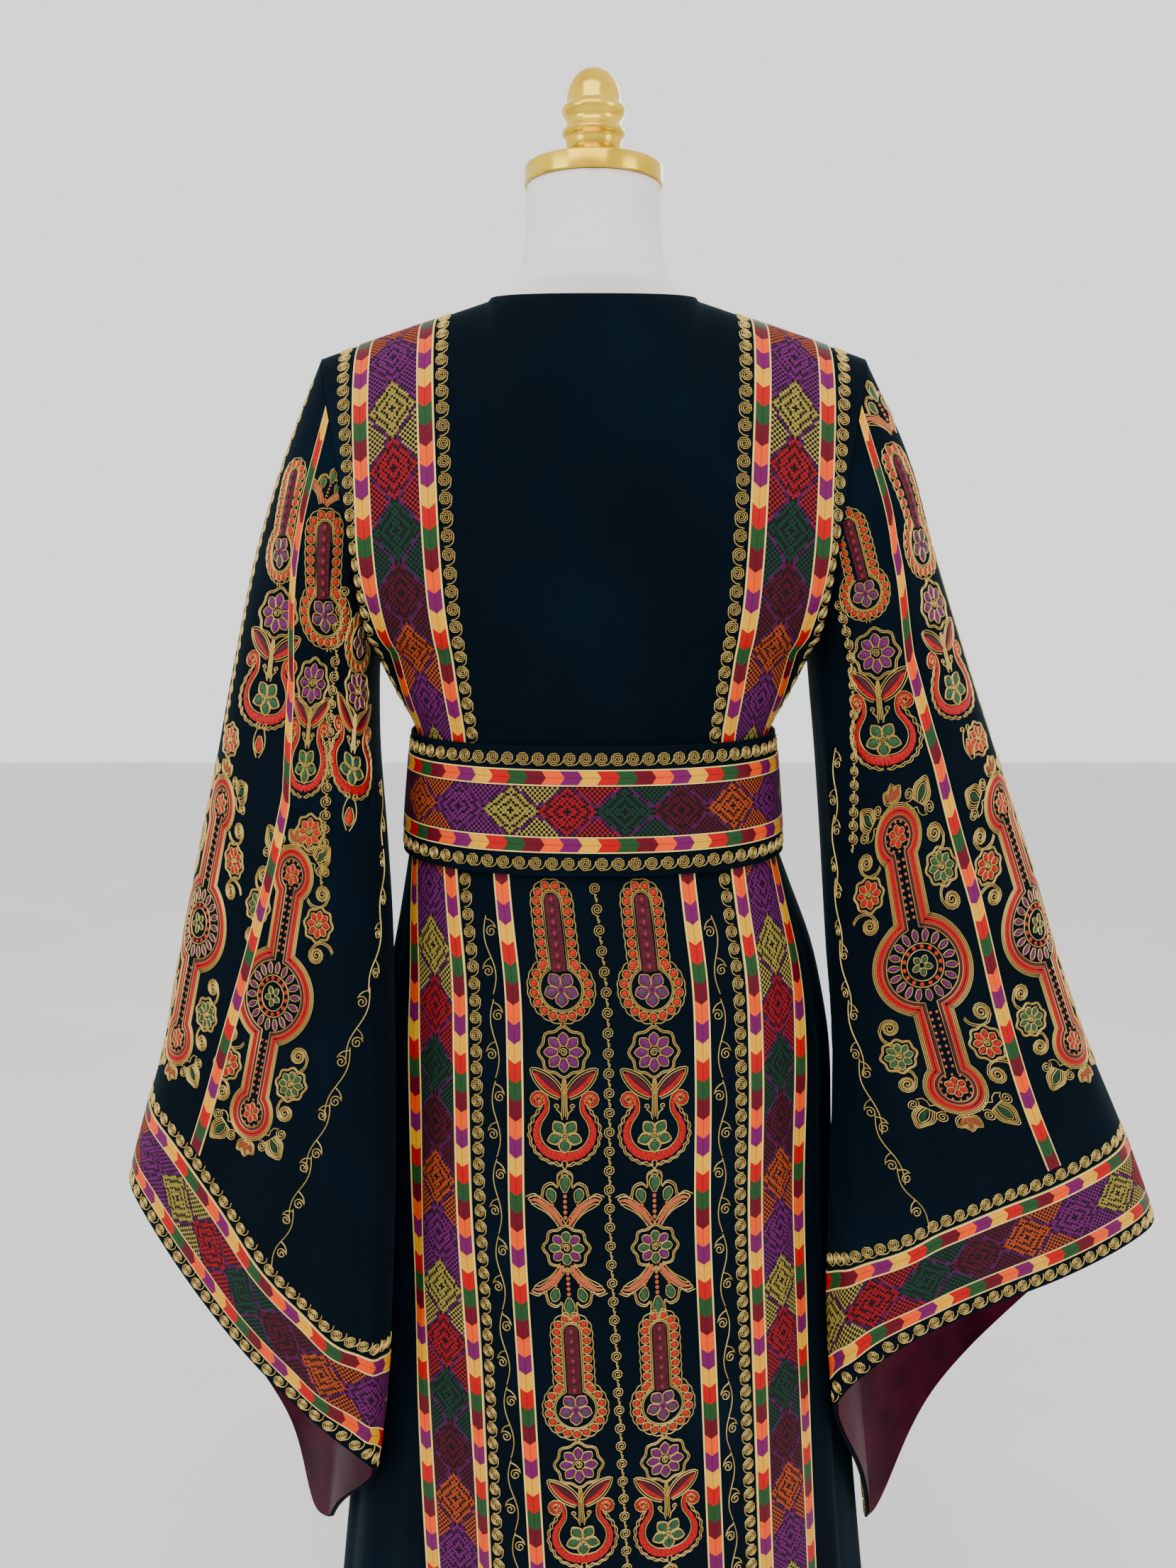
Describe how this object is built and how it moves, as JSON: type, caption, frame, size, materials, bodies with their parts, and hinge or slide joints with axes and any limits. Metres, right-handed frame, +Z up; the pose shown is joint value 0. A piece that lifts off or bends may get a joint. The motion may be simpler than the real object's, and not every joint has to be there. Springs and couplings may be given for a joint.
{
  "type": "thobe dress on dress form",
  "caption": "Long black velvet thobe dress with embroidered bands, a belt and wide bell sleeves, worn by a limbless dress form on a stand.",
  "frame": {"origin": "centre of the underside of the stand's base, on the floor", "axes": "+Z up; the back of the dress, which the picture shows, faces -Y; +X is the wearer's right"},
  "size_m": [0.835, 0.402, 1.5672],
  "materials": {
    "velvet": "black cotton velvet with a short pile and a faint teal sheen, embroidered with gold cord",
    "chevron_tape": "satin ribbon woven in chevrons of yellow, red, green, maroon, orange and purple with gold edges",
    "cross_stitch": "cross-stitch diamonds in orange, purple, olive, red, green and maroon on black canvas",
    "satin_lining": "wine satin lining",
    "gold_cord": "gold metallic cord, coiled and couched down",
    "satin_stitch": "satin stitch in red, maroon, purple, green and peach",
    "linen_cover": "off-white linen cover with grey flecks and sewn seams",
    "polished_gold": "polished yellow gold plating"
  },
  "bodies": {
    "root": {"belt": "velvet", "belt_band": "cross_stitch", "belt_tape_lower": "chevron_tape", "belt_tape_upper": "chevron_tape", "bodice_back": "velvet", "bodice_back_band_left": "cross_stitch", "bodice_back_band_right": "cross_stitch", "bodice_back_tape_inner_left": "chevron_tape", "bodice_back_tape_inner_right": "chevron_tape", "bodice_back_tape_outer_left": "chevron_tape", "bodice_back_tape_outer_right": "chevron_tape", "bodice_front": "velvet", "bodice_front_band_left": "cross_stitch", "bodice_front_band_right": "cross_stitch", "bodice_front_tape_inner_left": "chevron_tape", "bodice_front_tape_inner_right": "chevron_tape", "bodice_front_tape_outer_left": "chevron_tape", "bodice_front_tape_outer_right": "chevron_tape", "cuff_band_left": "cross_stitch", "cuff_band_right": "cross_stitch", "cuff_tape_lower_left": "chevron_tape", "cuff_tape_lower_right": "chevron_tape", "cuff_tape_upper_left": "chevron_tape", "cuff_tape_upper_right": "chevron_tape", "finial": "polished_gold", "form_torso": "linen_cover", "neck_cap": "polished_gold", "skirt_back": "velvet", "skirt_back_band_left": "cross_stitch", "skirt_back_band_right": "cross_stitch", "skirt_back_tape_centre_left": "chevron_tape", "skirt_back_tape_centre_right": "chevron_tape", "skirt_back_tape_edge_left": "chevron_tape", "skirt_back_tape_edge_right": "chevron_tape", "skirt_back_tape_mid_left": "chevron_tape", "skirt_back_tape_mid_right": "chevron_tape", "skirt_front": "velvet", "skirt_front_band_left": "cross_stitch", "skirt_front_band_right": "cross_stitch", "skirt_front_tape_edge_left": "chevron_tape", "skirt_front_tape_edge_right": "chevron_tape", "skirt_front_tape_mid_left": "chevron_tape", "skirt_front_tape_mid_right": "chevron_tape", "skirt_side_left": "velvet", "skirt_side_right": "velvet", "sleeve_left": "velvet", "sleeve_lining_left": "satin_lining", "sleeve_lining_right": "satin_lining", "sleeve_right": "velvet", "sleeve_tape_back_left": "chevron_tape", "sleeve_tape_back_right": "chevron_tape", "sleeve_tape_front_left": "chevron_tape", "sleeve_tape_front_right": "chevron_tape", "stand_base": "polished_gold", "stand_pole": "polished_gold"}
  },
  "joints": []
}
